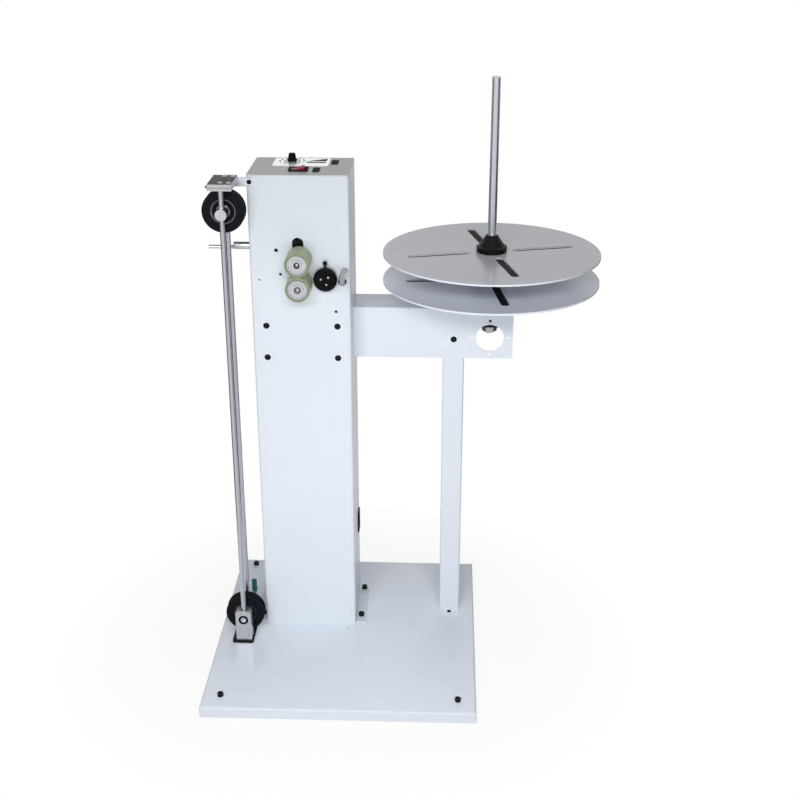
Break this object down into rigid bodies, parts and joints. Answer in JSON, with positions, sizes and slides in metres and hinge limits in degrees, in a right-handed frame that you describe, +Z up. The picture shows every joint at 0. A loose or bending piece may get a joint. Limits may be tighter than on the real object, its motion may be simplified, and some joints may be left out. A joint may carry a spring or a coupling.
{
  "type": "wire pay-off machine",
  "caption": "Free-standing wire pay-off with a slotted disc turntable on an arm, a powered pinch-roller feed and a sliding dancer pulley beside a sheet-metal column.",
  "frame": {"origin": "on the floor under the centre of the base tray", "axes": "+Z up, +X to the operator's right towards the turntable, +Y away from the operator"},
  "size_m": [0.644, 0.519, 0.976],
  "materials": {
    "paint": "white powder coat, semi-gloss",
    "rubber": "black rubber",
    "black_screw": "black oxide screws",
    "zinc": "zinc-plated steel",
    "ground_steel": "ground and polished steel",
    "turned_aluminium": "turned and milled aluminium",
    "dark_block": "blackened steel",
    "black_plastic": "black moulded plastic",
    "black_nylon": "black nylon",
    "red_plastic": "red moulded plastic",
    "green_tyre": "olive green polyurethane",
    "bronze": "sintered bronze",
    "teal_plastic": "teal plastic"
  },
  "bodies": {
    "frame": {"base_tray": "paint", "rubber_feet": "rubber", "base_screws": "black_screw", "column_shell": "paint", "top_panel": "paint", "rear_cover": "paint", "cover_screws": "black_screw", "arm_beam": "paint", "arm_screws": "black_screw", "arm_spacers": "zinc", "nuts": "zinc", "leg_post": "paint", "spindle": "ground_steel", "spindle_block": "dark_block", "spindle_collar": "zinc", "dancer_top_plate": "turned_aluminium", "dancer_bracket": "turned_aluminium", "dancer_screws": "zinc", "guide_rods": "ground_steel", "upper_axle": "ground_steel", "axle_clamps": "turned_aluminium", "bumper_pad": "rubber", "gear_motor": "zinc", "front_bushings": "bronze", "slide_guides": "zinc", "wire_guide_post": "ground_steel", "limit_switch": "black_nylon", "potentiometer": "zinc", "rocker_frame": "black_plastic", "panel_blanks": "black_plastic", "power_inlet": "black_nylon", "power_supply": "turned_aluminium"},
    "turntable": {"disc_lower": "paint", "turntable_hub": "turned_aluminium", "hub_bearings": "zinc"},
    "top_flange": {"disc_upper": "paint", "spool_cone": "black_nylon"},
    "upper_pulley": {"upper_pulley": "black_nylon", "upper_pulley_bearing": "zinc"},
    "carriage": {"carriage_blocks": "turned_aluminium", "carriage_bushes": "bronze", "lower_axle": "ground_steel", "trip_plate": "zinc", "trip_post": "teal_plastic"},
    "lower_pulley": {"lower_pulley": "black_nylon", "lower_pulley_bearing": "zinc"},
    "drive_roller": {"drive_hub": "turned_aluminium", "drive_tyre": "green_tyre", "drive_shaft": "ground_steel"},
    "pinch_slide": {"pinch_block": "zinc", "pinch_spring": "zinc"},
    "pinch_roller": {"pinch_hub": "turned_aluminium", "pinch_tyre": "green_tyre"},
    "lift": {"lift_knob": "black_plastic", "lift_pin": "black_plastic", "lift_cam": "zinc"},
    "limit": {"limit_lever": "ground_steel"},
    "speed_knob": {"speed_knob": "black_plastic"},
    "rocker": {"rocker_paddle": "red_plastic"}
  },
  "joints": [
    {"name": "turntable_spin", "type": "hinge", "parent": "frame", "child": "turntable", "pos_m": [0.24, 0.1025, 0.65], "axis": [0, 0, 1], "continuous": true},
    {"name": "flange_slide", "type": "slide", "parent": "turntable", "child": "top_flange", "axis": [0, 0, 1], "range_m": [0, 0.24]},
    {"name": "upper_pulley_spin", "type": "hinge", "parent": "frame", "child": "upper_pulley", "pos_m": [-0.1785, -0.016, 0.789], "axis": [0, 1, 0], "continuous": true},
    {"name": "carriage_slide", "type": "slide", "parent": "frame", "child": "carriage", "axis": [0, 0, 1], "range_m": [0, 0.605]},
    {"name": "lower_pulley_spin", "type": "hinge", "parent": "carriage", "child": "lower_pulley", "pos_m": [-0.1785, -0.016, 0.067], "axis": [0, 1, 0], "continuous": true},
    {"name": "drive_spin", "type": "hinge", "parent": "frame", "child": "drive_roller", "pos_m": [-0.0675, -0.007, 0.664], "axis": [0, 1, 0], "continuous": true},
    {"name": "pinch_lift", "type": "slide", "parent": "frame", "child": "pinch_slide", "axis": [0, 0, 1], "range_m": [0, 0.008], "deforming": ["pinch_spring"]},
    {"name": "pinch_spin", "type": "hinge", "parent": "pinch_slide", "child": "pinch_roller", "pos_m": [-0.0675, -0.007, 0.7043], "axis": [0, 1, 0], "continuous": true},
    {"name": "lift_turn", "type": "hinge", "parent": "frame", "child": "lift", "pos_m": [-0.0265, 0.008, 0.671], "axis": [0, 1, 0], "range_deg": [0, 45]},
    {"name": "limit_swing", "type": "hinge", "parent": "frame", "child": "limit", "pos_m": [-0.1315, 0.029, 0.72], "axis": [0, 1, 0], "range_deg": [0, 8]},
    {"name": "speed_turn", "type": "hinge", "parent": "frame", "child": "speed_knob", "pos_m": [-0.086, 0.114, 0.837], "axis": [0, 0, 1], "range_deg": [-150, 150]},
    {"name": "rocker_tilt", "type": "hinge", "parent": "frame", "child": "rocker", "pos_m": [-0.0695, 0.054, 0.836], "axis": [0, 1, 0], "range_deg": [0, 30]}
  ],
  "couplings": [
    {"joint": "lift_turn", "follows": "pinch_lift", "rad_per_m": 98.17},
    {"joint": "pinch_spin", "follows": "drive_spin", "ratio": -1}
  ]
}
